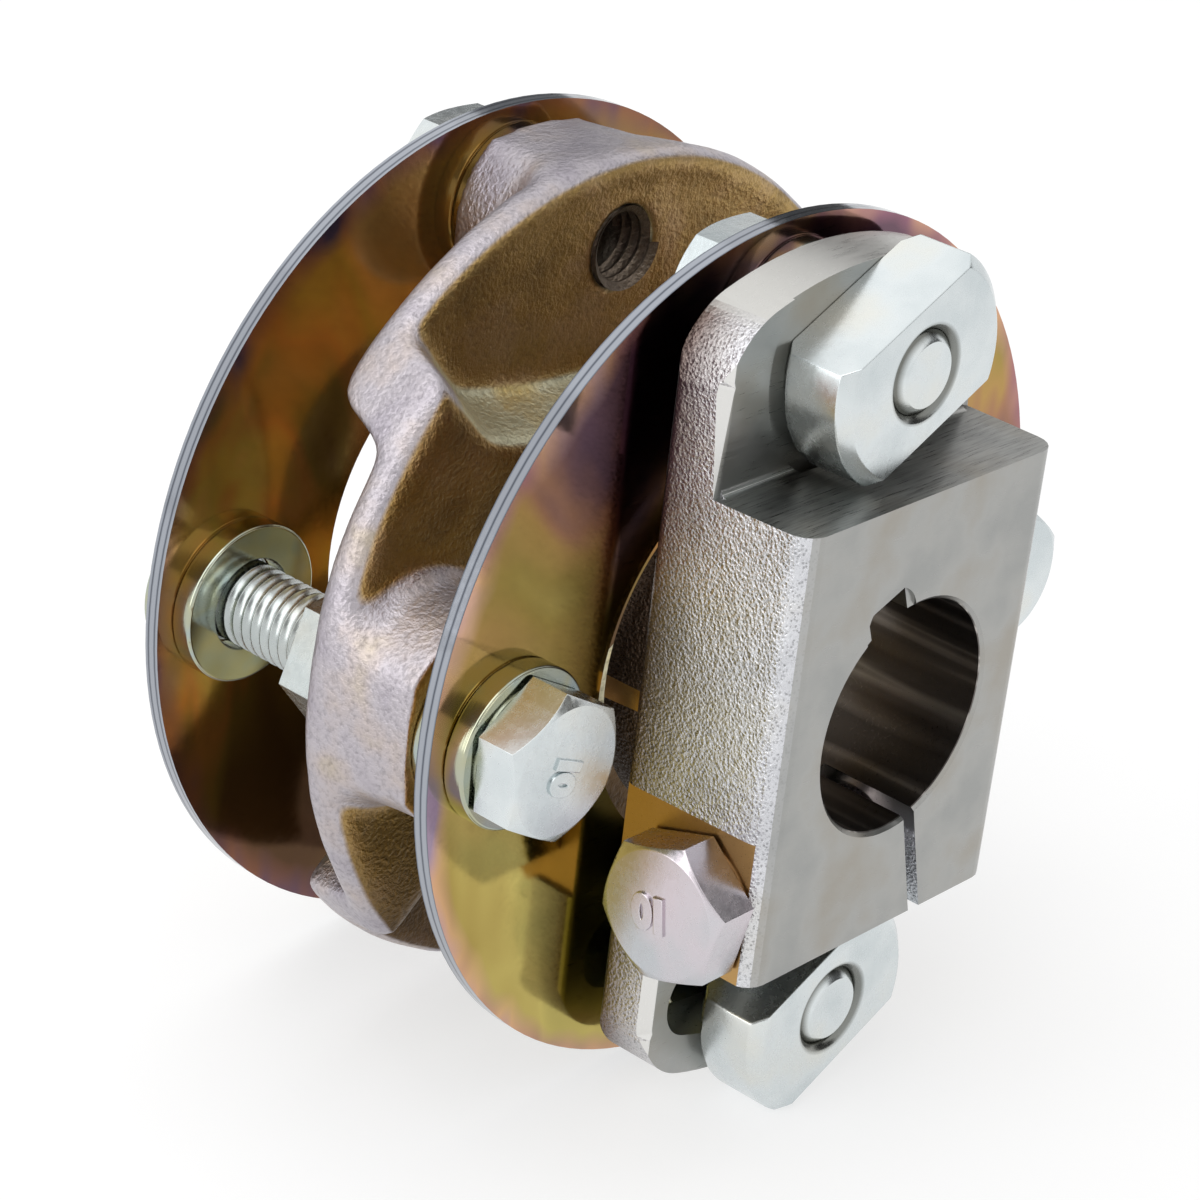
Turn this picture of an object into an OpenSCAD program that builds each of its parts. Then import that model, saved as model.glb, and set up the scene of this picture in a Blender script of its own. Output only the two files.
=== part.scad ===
// Double flexible-disc shaft coupling with a split clamp hub.
// The shaft runs along Y. The origin is on the shaft axis at the hub's front face,
// +Y runs from the hub towards the flange side, and +Z is up.
// Everything is in millimetres.

/* [Flexible discs] */
// Outer radius of the flexible discs
disc_r = 52.5; // [50.5:0.5:58]
// Radius of the hole in the middle of the discs
disc_hole_r = 25.5; // [24:0.5:28]
// Thickness of one spring steel lamina
lamina_t = 0.5; // [0.3:0.05:0.8]
// Radius of the circle that all the bolts stand on
bolt_circle_r = 40.65; // [39.5:0.05:41.5]
// Free space between the two packs of discs
disc_gap = 41.5; // [36:0.5:50]

/* [Clamp hub] */
// Width of the hub across its cast sides, at the front
hub_w = 45; // [42:0.5:47]
// Height of the hub's block between its two machined ledges
hub_h = 56; // [53:0.5:58]
// Extra half width that the cast sides gain towards the rear
side_draft = 0.4; // [0.2:0.1:0.8]
// Rounding of the block's upright front corners
block_corner_r = 3; // [1:0.5:5]
// Rounding of the block's upright rear corners
rear_corner_r = 1.5; // [0.5:0.5:3]
// Depth of the ledges, from the front face to the ears
ledge_depth = 13.4; // [12:0.1:16]
// Rounding where a ledge meets its ear
ledge_fillet_r = 1; // [0.5:0.1:2]
// Thickness of the two ears
ear_t = 7.45; // [6:0.05:10]
// Distance from the bolt circle out to the ears' round outer edge
ear_margin = 10.15; // [9.35:0.05:12.35]
// Rounding of the ears' outer corners
ear_corner_r = 10.5; // [6:0.5:12]
// Width of the bevel along the ears' upright front edges
ear_bevel = 1.2; // [0.4:0.1:2]
// Radius of the round boss behind the ears
hub_boss_r = 22.2; // [20:0.1:23]
// Length of the round boss behind the ears
hub_boss_len = 4.9; // [3:0.1:8]
// Radius of the machined ring that the upper nut seats on
seat_ring_r = 15.5; // [14.5:0.1:16]
// Depth of the machined ring that the upper nut seats on
seat_ring_depth = 0.3; // [0.1:0.1:0.8]
// Half angle of the curved slot in the lower ear
slot_half_angle = 20; // [16:0.5:21]
// Width of the curved slot in the lower ear
slot_w = 10.3; // [10.2:0.1:10.4]

/* [Shaft bore] */
// Radius of the shaft bore
bore_r = 14.3; // [12:0.05:15]
// Chamfer at both mouths of the bore
bore_chamfer = 0.5; // [0.3:0.1:1.2]
// Width of the keyway
key_w = 6.35; // [5:0.05:8]
// Height of the keyway's floor above the bore's wall
key_rise = 2.8; // [2:0.1:3.6]
// Direction of the keyway about the shaft, from +X
key_angle = 111; // [95:1:125]
// Radius of the shallow round relief at the keyway's corner
relief_r = 4.3; // [3:0.1:5]
// Depth of the shallow round relief
relief_depth = 0.4; // [0.2:0.1:1]
// Width of the split that lets the hub close on the shaft
split_w = 1.9; // [1:0.1:3]
// Direction of the split about the shaft, from +X
split_angle = -74; // [-80:1:-68]

/* [Clamp bolt] */
// Distance of the clamp bolt behind the front face
clamp_y = 9.25; // [8.5:0.05:12]
// Distance of the clamp bolt below the shaft
clamp_drop = 20; // [19.8:0.1:21]
// Length of the clamp bolt under its head
clamp_len = 40; // [30:1:42]
// Depth of the milled flat that the clamp bolt's head seats on, into the front half width
flat_depth = 0.3; // [0.1:0.1:1]
// Height of the milled flat's top edge, below the shaft
flat_top = 9.8; // [8:0.1:10.5]

/* [Fasteners] */
// Thread radius of all the bolts
bolt_r = 5; // [4:0.5:5]
// Width across the flats of the hexagons
hex_af = 16; // [15:0.5:17]
// Height of the bolt heads
head_h = 6.3; // [5:0.1:7]
// Length of the bolts that hold the front discs to the casting
front_tapped_len = 20; // [17:1:24]
// Length of the bolts that hold the rear discs to the casting
rear_tapped_len = 16; // [14:1:20]
// Length of the bolts that hold the hub's ears
ear_bolt_len = 25; // [24:0.5:26]
// Length of the two loose bolts for the flange
flange_bolt_len = 25; // [23:1:28]
// Outer radius of the thick washers
washer_r = 9.75; // [9.3:0.05:11]
// Thickness of the thick washers
washer_t = 2.9; // [2:0.1:4]
// Hole radius of the thick washers
washer_hole_r = 5.6; // [5.3:0.05:6]
// Radius of the two turned plate nuts
plate_nut_r = 14; // [12.5:0.1:14.4]
// Width across the two flats of the plate nuts
plate_nut_af = 16.4; // [14:0.1:20]
// Thickness of the plate nuts
plate_nut_t = 9.7; // [8:0.1:11]
// Direction of the plate nuts' flats, from +X
plate_nut_angle = 25; // [0:1:90]
// Free space kept round the plate nuts where they reach over the ledges
plate_nut_room = 0.3; // [0.1:0.1:0.6]

/* [Centre casting] */
// Outer radius of the casting
cast_r = 52; // [51.5:0.5:56]
// Depth of the casting over both of its staggered webs
cast_depth = 14.7; // [13:0.1:17]
// Width of the casting's rim
rim_w = 5.8; // [5:0.1:6.5]
// Height of the rim above the recessed side of the webs
lip_h = 0.8; // [0.4:0.1:1.2]
// Distance of the rim's crest from its outer radius
lip_w = 2.5; // [2:0.1:3.5]
// Radius of the hollow rounding between a web and its rim
lip_hollow_r = 3; // [2:0.1:4]
// Rounding of the rim's outer edges
rim_round = 2.4; // [1:0.1:2.4]
// Half angle of the side webs at the rim, on their front side
side_web_angle = 42; // [38:0.5:45]
// Half angle of the upper and lower webs at the rim, on their rear side
end_web_angle = 51.5; // [48:0.5:54]
// Half height of each web band at its outer face, where it crosses the middle
band_half = 22.7; // [22:0.1:25]
// Distance from the shaft at which the webs' edges turn to run radially
band_turn_r = 40; // [38:1:44]
// Lean of the step walls between the webs
wall_lean = 20; // [10:1:22]
// Radius of the casting's opening in the middle
cast_bore_r = 20; // [18:0.5:21]
// Radius of the bolt bosses at their faces
boss_r = 12.3; // [11:0.1:13]
// Growth of the bosses' radius down to the webs
boss_draft = 1.2; // [0.4:0.1:2]
// Radius of the machined seats for the flange bolts' heads, on the side webs' rear
head_seat_r = 10; // [9.6:0.1:10.5]
// Setback of the bosses' outer side at their faces
boss_setback = 0.9; // [0.4:0.1:1.5]

/* [Hidden] */
$fn = 96;
laminae = 4;
bolt_hole_r = 5.5;
head_top_r = 7.7;
head_face_r = 7.6;
head_face_h = 0.4;
head_slope = 30;
thread_end = 1.1;
washer_edge = 0.25;
plate_nut_edge = 1.3;
plate_nut_edge_in = 1.5;
countersink = 0.8;
boss_flare = 2;
overcut = 1;
arc_steps = 5;
edge_steps = 8;
web_overlap = 1;
rim_overcut = 0.1;

// Turn of each hexagon head about its bolt, as it was left when tightened
clamp_bolt_turn = 18;
front_top_turn = 5;
front_low_turn = 40;
front_left_turn = 92;
front_right_turn = 20;
rear_top_turn = 2;
rear_low_turn = 50;
flange_left_turn = 9;
flange_right_turn = 35;

pack_t = laminae * lamina_t;
ear_r = bolt_circle_r + ear_margin;
ear_rear_y = ledge_depth + ear_t;
front_pack_y = ear_rear_y + washer_t;
front_pack_end = front_pack_y + pack_t;
rear_pack_y = front_pack_end + disc_gap;
rear_pack_end = rear_pack_y + pack_t;
boss_front_y = front_pack_end + washer_t;
boss_rear_y = rear_pack_y - washer_t;
cast_mid_y = (front_pack_end + rear_pack_y) / 2;
cast_front_y = cast_mid_y - cast_depth / 2;
cast_rear_y = cast_mid_y + cast_depth / 2;
side_rim_end = cast_front_y + rim_w;
end_rim_start = cast_rear_y - rim_w;
side_web_rear = side_rim_end - lip_h;
end_web_front = end_rim_start + lip_h;
flat_x = -(hub_w / 2 - flat_depth);
hub_rear_half = hub_w / 2 + side_draft;
clamp_z = -clamp_drop;
seat_y = ledge_depth + seat_ring_depth;
rear_head_y = rear_pack_end + washer_t;
flange_head_y = side_web_rear + head_h;
hex_corner_r = hex_af / sqrt(3);

// Points along an arc, as a list for a polygon
function arc(cx, cy, r, from, to, steps = arc_steps) =
    [for (i = [0 : steps]) [cx + r * cos(from + (to - from) * i / steps),
                            cy + r * sin(from + (to - from) * i / steps)]];

// A flat shape drawn in X and Z, thick from y0 to y1
module slab(y0, y1) {
    translate([0, y1, 0])
        rotate([90, 0, 0])
            linear_extrude(y1 - y0)
                children();
}

// A round bar or bore along Y
module bar(y0, y1, r, x = 0, z = 0) {
    translate([x, y0, z])
        rotate([-90, 0, 0])
            cylinder(h = y1 - y0, r = r);
}

// A cone along Y, with radius r0 at y0 and r1 at y1
module taper(y0, y1, r0, r1, x = 0, z = 0) {
    translate([x, y0, z])
        rotate([-90, 0, 0])
            cylinder(h = y1 - y0, r1 = r0, r2 = r1);
}

// A turned shape about an axis along Y, from a profile of radius and Y
module turned(x = 0, z = 0) {
    translate([x, 0, z])
        rotate([-90, 0, 0])
            rotate_extrude()
                children();
}

// The four places on the bolt circle: 0 right, 90 top, 180 left, 270 bottom
module on_circle(angle) {
    translate([bolt_circle_r * cos(angle), 0, bolt_circle_r * sin(angle)])
        children();
}

// Fasteners

// A hexagon prism with its underside at 0 and its chamfered top at h, along +Z
module hexagon(h, turn, top_r) {
    wide_r = hex_corner_r + rim_overcut;
    rise = (wide_r - top_r) * tan(head_slope);
    intersection() {
        rotate(turn)
            cylinder(h = h, r = hex_corner_r, $fn = 6);
        rotate_extrude()
            polygon([[0, 0], [wide_r, 0], [wide_r, h - rise], [top_r, h], [0, h]]);
    }
}

// A hexagon bolt along +Y: the head ends at y = 0 and the shank runs to y = len
module hex_bolt(len, turn) {
    color("gainsboro")
        rotate([-90, 0, 0]) {
            translate([0, 0, -head_face_h])
                mirror([0, 0, 1])
                    hexagon(head_h - head_face_h, -turn, head_top_r);
            rotate_extrude()
                polygon([[0, -2 * head_face_h], [head_face_r, -2 * head_face_h],
                         [head_face_r, 0], [bolt_r, 0], [bolt_r, len - thread_end],
                         [bolt_r - thread_end, len], [0, len]]);
        }
}

// A thick washer that starts at y0
module washer(y0) {
    color("lightsteelblue")
        turned()
            polygon([[washer_hole_r, y0], [washer_r - washer_edge, y0],
                     [washer_r, y0 + washer_edge], [washer_r, y0 + washer_t - washer_edge],
                     [washer_r - washer_edge, y0 + washer_t], [washer_hole_r, y0 + washer_t]]);
}

// A turned plate nut with two flats, from its front at y0 back to its seat
module plate_nut(y0) {
    y1 = y0 + plate_nut_t;
    color("silver")
        intersection() {
            turned()
                polygon([[bolt_r + countersink, y0], [plate_nut_r - plate_nut_edge_in, y0],
                         [plate_nut_r, y0 + plate_nut_edge], [plate_nut_r, y1 - plate_nut_edge],
                         [plate_nut_r - plate_nut_edge_in, y1], [bolt_r + countersink, y1],
                         [bolt_r, y1 - countersink], [bolt_r, y0 + countersink]]);
            slab(y0 - overcut, y1 + overcut)
                plate_nut_outline(0);
        }
}

// Front view of a plate nut in X and Z, with extra room all round
module plate_nut_outline(room) {
    r = plate_nut_r + room;
    intersection() {
        circle(r = r);
        rotate(plate_nut_angle)
            square([2 * r, plate_nut_af + 2 * room], center = true);
    }
}

// Flexible discs

// One lamina, from y0, with its middle hole and four bolt holes
module lamina(y0) {
    color("peru")
        difference() {
            bar(y0, y0 + lamina_t, disc_r);
            bar(y0 - overcut, y0 + lamina_t + overcut, disc_hole_r);
            for (a = [0 : 90 : 270])
                on_circle(a)
                    bar(y0 - overcut, y0 + lamina_t + overcut, bolt_hole_r);
        }
}

// Clamp hub

// Plan of the block in X and Y, with drafted sides and rounded upright corners
module block_plan() {
    w = hub_w / 2;
    c = block_corner_r;
    q = rear_corner_r;
    polygon(concat(
        arc(-w + c, c, c, 180, 270),
        arc(w - c, c, c, 270, 360),
        arc(hub_rear_half - q, ear_rear_y - q, q, 0, 90),
        arc(-hub_rear_half + q, ear_rear_y - q, q, 90, 180)));
}

// Front view of the two ears in X and Z: a round outer edge with rounded corners
module ear_shape() {
    cx = hub_rear_half - ear_corner_r;
    cz = sqrt(pow(ear_r - ear_corner_r, 2) - cx * cx);
    for (s = [-1, 1])
        scale([1, s])
            union() {
                intersection() {
                    circle(r = ear_r);
                    polygon([[0, 0], [-2 * cx, 2 * cz], [2 * cx, 2 * cz]]);
                }
                for (t = [-1, 1])
                    translate([t * cx, cz])
                        circle(r = ear_corner_r);
                translate([-hub_rear_half, 0])
                    square([2 * hub_rear_half, cz]);
            }
}

// The small rounding in the corner between a ledge and its ear, along the width
module ledge_fillet() {
    f = ledge_fillet_r;
    translate([-hub_w / 2 + overcut, ledge_depth, hub_h / 2])
        rotate([90, 0, 90])
            linear_extrude(hub_w - 2 * overcut)
                difference() {
                    translate([-f, -overcut])
                        square([f + overcut, f + overcut]);
                    translate([-f, f])
                        circle(r = f);
                }
}

// The bevel along one upright front edge of the ears, from the ledges outwards
module ear_bevel_cut(side) {
    half = hub_w / 2 + side_draft * ledge_depth / ear_rear_y;
    for (s = [-1, 1])
        translate([side * half, ledge_depth, s * (hub_h + ear_r) / 2])
            rotate(45)
                cube([ear_bevel * sqrt(2), ear_bevel * sqrt(2), ear_r - hub_h / 2 + overcut],
                     center = true);
}

// The curved slot in the lower ear, drawn in X and Z
module curved_slot() {
    reach = 2 * bolt_circle_r;
    x = reach * tan(slot_half_angle);
    intersection() {
        difference() {
            circle(r = bolt_circle_r + slot_w / 2);
            circle(r = bolt_circle_r - slot_w / 2);
        }
        polygon([[0, 0], [-x, -reach], [x, -reach]]);
    }
    for (s = [-1, 1])
        rotate(s * slot_half_angle)
            translate([0, -bolt_circle_r])
                circle(r = slot_w / 2);
}

// The split, from the bore out through the bottom of the block
module split_cut() {
    slab(-overcut, ledge_depth)
        rotate(split_angle)
            translate([0, -split_w / 2])
                square([hub_h, split_w]);
}

// The bore with its chamfered mouths, the keyway and the round relief
module bore_cut() {
    end_y = ear_rear_y + hub_boss_len;
    c = bore_chamfer;
    turned()
        polygon([[0, -overcut], [bore_r + c + overcut, -overcut], [bore_r, c],
                 [bore_r, end_y - c], [bore_r + c + overcut, end_y + overcut],
                 [0, end_y + overcut]]);
    slab(-overcut, end_y + overcut)
        rotate(key_angle)
            translate([0, -key_w / 2])
                square([bore_r + key_rise, key_w]);
    bar(-overcut, relief_depth, relief_r,
        bore_r * cos(key_angle), bore_r * sin(key_angle));
}

// The clamp bolt's holes: clear up to the split, tapped beyond it
module clamp_holes() {
    far = hub_rear_half + overcut;
    mid = clamp_drop / tan(-split_angle);
    translate([-far, clamp_y, clamp_z])
        rotate([0, 90, 0])
            cylinder(h = far + mid, r = bolt_hole_r);
    translate([0, clamp_y, clamp_z])
        rotate([0, 90, 0])
            cylinder(h = far, r = bolt_r);
}

module clamp_hub() {
    color("darkgray")
        difference() {
            union() {
                translate([0, 0, -hub_h / 2])
                    linear_extrude(hub_h)
                        block_plan();
                intersection() {
                    slab(ledge_depth, ear_rear_y)
                        ear_shape();
                    translate([0, 0, -ear_r])
                        linear_extrude(2 * ear_r)
                            block_plan();
                }
                bar(ear_rear_y - overcut, ear_rear_y + hub_boss_len, hub_boss_r);
                ledge_fillet();
                mirror([0, 0, 1])
                    ledge_fillet();
            }
            bore_cut();
            split_cut();
            clamp_holes();
            translate([flat_x - hub_w, -overcut, -hub_h / 2])
                cube([hub_w, ear_rear_y + 2 * overcut, hub_h / 2 - flat_top]);
            ear_bevel_cut(-1);
            ear_bevel_cut(1);
            for (a = [90, 270])
                on_circle(a)
                    slab(seat_y - plate_nut_t - plate_nut_room, ledge_depth)
                        plate_nut_outline(plate_nut_room);
            bar(ledge_depth - overcut, seat_y, seat_ring_r, 0, bolt_circle_r);
            bar(ledge_depth - overcut, ear_rear_y + overcut, bolt_hole_r, 0, bolt_circle_r);
            slab(ledge_depth - overcut, ear_rear_y + overcut)
                curved_slot();
        }
}

module clamp_bolt() {
    translate([flat_x, clamp_y, clamp_z])
        rotate([0, 0, -90])
            hex_bolt(clamp_len, clamp_bolt_turn);
}

// Centre casting

// Outline of a band across the casting, along its first axis, that widens to the rim.
// half is its half height in the middle and a its half angle at the rim.
function band_edge(half, a) =
    let (u = band_turn_r * cos(a), v = band_turn_r * sin(a))
    concat(
        [[2 * cast_r * cos(a), 2 * cast_r * sin(a)]],
        [for (i = [-edge_steps : edge_steps])
            let (t = -i / edge_steps) [u * t, half + (v - half) * t * t]],
        [[-2 * cast_r * cos(a), 2 * cast_r * sin(a)]]);
function band_outline(half, a) =
    concat(band_edge(half, a), [for (p = band_edge(half, a)) -p]);

// A band with leaning step walls: narrow at z = 0 and wide at z = cast_depth
module leaning_band(a) {
    grow = cast_depth * tan(wall_lean);
    turn = grow / band_turn_r * 180 / PI;
    narrow = band_outline(band_half, a);
    wide = band_outline(band_half + grow, a + turn);
    n = len(narrow);
    cap = [for (i = [0 : n / 2 - 2]) each [[i, i + 1, n - 1 - i], [i + 1, n - 2 - i, n - 1 - i]]];
    polyhedron(
        points = concat([for (p = narrow) [p.x, p.y, 0]],
                        [for (p = wide) [p.x, p.y, cast_depth]]),
        faces = concat(
            cap,
            [for (f = cap) [n + f[2], n + f[1], n + f[0]]],
            [for (i = [0 : n - 1]) [i, n + i, (i + 1) % n]],
            [for (i = [0 : n - 1]) [(i + 1) % n, n + i, n + (i + 1) % n]]));
}

// The side band lies in front and widens to the rear
module side_band() {
    translate([0, cast_front_y, 0])
        rotate([-90, 0, 0])
            leaning_band(side_web_angle);
}

// The end band lies at the rear and widens to the front
module end_band() {
    translate([0, cast_rear_y, 0])
        rotate([90, 0, 0])
            rotate(90)
                leaning_band(end_web_angle);
}

// A turned disc with rounded rim edges
module rounded_disc(y0, y1, r) {
    q = rim_round;
    turned()
        polygon(concat([[0, y0]], arc(r - q, y0 + q, q, 270, 360),
                       arc(r - q, y1 - q, q, 0, 90), [[0, y1]]));
}

// Profile of a recess in a web: from below the rim's crest, round a hollow, to the web
module recess(depth_y, rim_y) {
    q = lip_hollow_r;
    crest_r = cast_r - lip_w;
    s = rim_y < depth_y ? 1 : -1;
    h = abs(depth_y - rim_y);
    centre_r = crest_r - sqrt(q * q - (q - h) * (q - h));
    turned()
        polygon(concat([[0, rim_y - s * overcut], [0, depth_y]],
                       [for (p = arc(0, 0, q, 90, asin((q - h) / q)))
                           [centre_r + p.x, depth_y - s * (q - p.y)]],
                       [[crest_r, rim_y - s * overcut]]));
}

// One web with its rim, between y0 and y1, recessed to recess_y on the side of rim_y
module web_and_rim(y0, y1, recess_y, rim_y) {
    difference() {
        rounded_disc(y0, y1, cast_r);
        recess(recess_y, rim_y);
    }
}

// A bolt boss from its face at y0 down to the web at y1, clipped by the rim's cylinder
module boss(y0, y1, angle) {
    step = y1 > y0 ? 1 : -1;
    intersection() {
        on_circle(angle)
            union() {
                if (step > 0) {
                    taper(y0, y1, boss_r, boss_r + boss_draft);
                    taper(y1 - 2 * boss_flare, y1, boss_r + boss_draft / 2,
                          boss_r + boss_draft + boss_flare);
                } else {
                    taper(y1, y0, boss_r + boss_draft, boss_r);
                    taper(y1, y1 + 2 * boss_flare, boss_r + boss_draft + boss_flare,
                          boss_r + boss_draft / 2);
                }
            }
        if (step > 0)
            taper(y0, y1, cast_r - boss_setback, cast_r);
        else
            taper(y1, y0, cast_r, cast_r - boss_setback);
    }
}

module centre_casting() {
    color("darkkhaki")
        difference() {
            union() {
                intersection() {
                    side_band();
                    web_and_rim(cast_front_y, side_rim_end, side_web_rear, side_rim_end);
                }
                intersection() {
                    end_band();
                    web_and_rim(end_rim_start, cast_rear_y, end_web_front, end_rim_start);
                }
                intersection() {
                    side_band();
                    end_band();
                    rounded_disc(cast_front_y, cast_rear_y, cast_r);
                }
                for (a = [0, 180])
                    boss(boss_front_y, cast_front_y + web_overlap, a);
                for (a = [90, 270])
                    boss(boss_rear_y, cast_rear_y - web_overlap, a);
            }
            bar(cast_front_y - overcut, cast_rear_y + overcut, cast_bore_r);
            for (a = [0, 180])
                on_circle(a)
                    bar(side_web_rear, side_rim_end + overcut, head_seat_r);
            for (a = [0 : 90 : 270])
                on_circle(a)
                    bar(boss_front_y - overcut, boss_rear_y + overcut, bolt_r);
        }
}

// A bolt that runs to the rear, with its head's underside at under_head_y
module rear_bolt(angle, under_head_y, len, turn) {
    on_circle(angle)
        translate([0, under_head_y, 0])
            hex_bolt(len, turn);
}

// A bolt that runs to the front, with its head's underside at under_head_y
module fore_bolt(angle, under_head_y, len, turn) {
    on_circle(angle)
        translate([0, under_head_y, 0])
            mirror([0, 1, 0])
                hex_bolt(len, turn);
}

clamp_hub();
clamp_bolt();
on_circle(90) plate_nut(seat_y - plate_nut_t);  // top_plate_nut
on_circle(270) plate_nut(ledge_depth - plate_nut_t);  // bottom_plate_nut
lamina(front_pack_y);  // front_lamina_1
lamina(front_pack_y + lamina_t);  // front_lamina_2
lamina(front_pack_y + 2 * lamina_t);  // front_lamina_3
lamina(front_pack_y + 3 * lamina_t);  // front_lamina_4
lamina(rear_pack_y);  // rear_lamina_1
lamina(rear_pack_y + lamina_t);  // rear_lamina_2
lamina(rear_pack_y + 2 * lamina_t);  // rear_lamina_3
lamina(rear_pack_y + 3 * lamina_t);  // rear_lamina_4
fore_bolt(90, boss_front_y, ear_bolt_len, front_top_turn);  // front_top_bolt
fore_bolt(270, boss_front_y, ear_bolt_len, front_low_turn);  // front_bottom_bolt
rear_bolt(180, ear_rear_y, front_tapped_len, front_left_turn);  // front_left_bolt
rear_bolt(0, ear_rear_y, front_tapped_len, front_right_turn);  // front_right_bolt
on_circle(90) washer(ear_rear_y);  // top_ear_washer
on_circle(270) washer(ear_rear_y);  // bottom_ear_washer
on_circle(90) washer(front_pack_end);  // top_head_washer
on_circle(270) washer(front_pack_end);  // bottom_head_washer
on_circle(180) washer(ear_rear_y);  // left_head_washer
on_circle(0) washer(ear_rear_y);  // right_head_washer
on_circle(180) washer(front_pack_end);  // left_boss_washer
on_circle(0) washer(front_pack_end);  // right_boss_washer
centre_casting();
fore_bolt(90, rear_head_y, rear_tapped_len, rear_top_turn);  // rear_top_bolt
fore_bolt(270, rear_head_y, rear_tapped_len, rear_low_turn);  // rear_bottom_bolt
rear_bolt(180, flange_head_y, flange_bolt_len, flange_left_turn);  // rear_left_bolt
rear_bolt(0, flange_head_y, flange_bolt_len, flange_right_turn);  // rear_right_bolt
on_circle(90) washer(boss_rear_y);  // rear_top_washer
on_circle(270) washer(boss_rear_y);  // rear_bottom_washer
on_circle(180) washer(boss_rear_y);  // rear_left_washer
on_circle(0) washer(boss_rear_y);  // rear_right_washer
on_circle(90) washer(rear_pack_end);  // rear_top_head_washer
on_circle(270) washer(rear_pack_end);  // rear_bottom_head_washer
on_circle(180) washer(rear_pack_end);  // rear_left_end_washer
on_circle(0) washer(rear_pack_end);  // rear_right_end_washer
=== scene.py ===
import math

import bpy
from mathutils import Matrix, Vector


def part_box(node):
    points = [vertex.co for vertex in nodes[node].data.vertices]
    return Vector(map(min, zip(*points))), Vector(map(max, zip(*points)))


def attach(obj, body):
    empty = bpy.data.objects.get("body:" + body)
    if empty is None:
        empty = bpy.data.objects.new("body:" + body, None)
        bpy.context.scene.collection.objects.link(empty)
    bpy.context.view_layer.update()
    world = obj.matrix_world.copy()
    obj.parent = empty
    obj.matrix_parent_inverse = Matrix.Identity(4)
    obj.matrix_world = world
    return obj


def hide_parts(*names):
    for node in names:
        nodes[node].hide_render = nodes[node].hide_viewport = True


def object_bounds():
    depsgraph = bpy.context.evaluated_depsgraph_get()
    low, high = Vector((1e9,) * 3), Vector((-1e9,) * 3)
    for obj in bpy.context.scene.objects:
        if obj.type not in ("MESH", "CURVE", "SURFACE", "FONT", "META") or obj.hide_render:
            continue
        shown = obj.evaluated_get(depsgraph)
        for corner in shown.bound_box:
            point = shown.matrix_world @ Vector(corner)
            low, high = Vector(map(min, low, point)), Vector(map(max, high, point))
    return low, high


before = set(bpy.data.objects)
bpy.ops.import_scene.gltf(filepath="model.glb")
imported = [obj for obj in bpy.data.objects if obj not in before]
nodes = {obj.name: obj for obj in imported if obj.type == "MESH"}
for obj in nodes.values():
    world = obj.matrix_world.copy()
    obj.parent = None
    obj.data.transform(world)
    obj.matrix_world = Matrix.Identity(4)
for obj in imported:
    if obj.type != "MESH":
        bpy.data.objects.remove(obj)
cad_low, cad_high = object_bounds()

MM = 0.001

# Camera: its place and aim in millimetres, its roll in degrees, and its lens on a 36 mm sensor
CAMERA_AT = (-315.99, -214.44, 193.26)
CAMERA_AIM = (0.0, 46.23, -3.91)
CAMERA_ROLL = 6.57
CAMERA_LENS = 113.13

# The coupling, in millimetres, as the solids have it
BOLT_CIRCLE = 40.65
HEAD_HEIGHT = 6.3
CASTING_FRONT = 39.15
CASTING_REAR = 53.85
BOSS_FRONT = 28.65
BOSS_REAR = 64.35
BOSS_R = 12.3
BORE_R = 14.3
HUB_HALF_WIDTH = 22.5
HUB_HALF_HEIGHT = 28.0
EAR_FRONT = 13.4
SOLID_BEVEL_START = 41.5
THREAD_PITCH = 1.5
THREAD_CREST_R = 5.0
THREAD_ROOT_R = 4.2
CLAMP_DROP = 20.0
CLAMP_Y = 9.25
CLAMP_FLAT_X = -22.2

# Finishing of the visible pieces, in millimetres
EDGE_ROUNDING = 0.25
HUB_EDGE_ROUNDING = 0.3
GROUND_BEVEL = 1.3
MERGE_DISTANCE = 0.01
CASTING_VOXEL = 0.6
THREAD_END_CHAMFER = 0.5
HOLE_THREAD_SET_BACK = 8.6

# The size of the font over the height of its figures
SIZE_PER_FIGURE = 1.35

# The middle of the coupling, in metres, at which lamps and screens aim
AIM = Vector((0, 0.04, 0))


def srgb(code):
    """A colour written as sRGB hex, turned to the linear values that a shader takes."""
    parts = [int(code[i:i + 2], 16) / 255 for i in (1, 3, 5)]
    linear = [c / 12.92 if c <= 0.04045 else ((c + 0.055) / 1.055) ** 2.4 for c in parts]
    return (*linear, 1.0)


def grey(level):
    """A linear grey."""
    return (level, level, level, 1.0)


def add_node(tree, kind, sockets=None, stops=None, **settings):
    """Adds a shader node with its settings, colour stops, values and links; gives its output."""
    made = tree.nodes.new(kind)
    for name, value in settings.items():
        setattr(made, name, value)
    if stops:
        band = made.color_ramp.elements
        while len(band) < len(stops):
            band.new(0.5)
        for element, (position, colour) in zip(band, stops):
            element.position = position
            element.color = srgb(colour) if isinstance(colour, str) else grey(colour)
    for name, value in (sockets or {}).items():
        if isinstance(value, bpy.types.NodeSocket):
            tree.links.new(value, made.inputs[name])
        else:
            made.inputs[name].default_value = value
    return next((s for s in made.outputs if s.enabled), made)


def empty_tree(holder):
    """Switches on the nodes of a material or a world, and clears them."""
    holder.use_nodes = True
    holder.node_tree.nodes.clear()
    return holder.node_tree


def start_material(name):
    """An empty material, and the place on the piece counted in millimetres."""
    made = bpy.data.materials.new(name)
    tree = empty_tree(made)
    place = add_node(tree, "ShaderNodeTexCoord").node.outputs["Object"]
    in_mm = add_node(tree, "ShaderNodeVectorMath", {0: place, "Scale": 1000.0}, operation="SCALE")
    return made, tree, in_mm


def end_tree(tree, surface, kind="ShaderNodeOutputMaterial"):
    """Links a finished shader to the output of its material or world."""
    tree.links.new(surface, add_node(tree, kind).inputs["Surface"])


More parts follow.
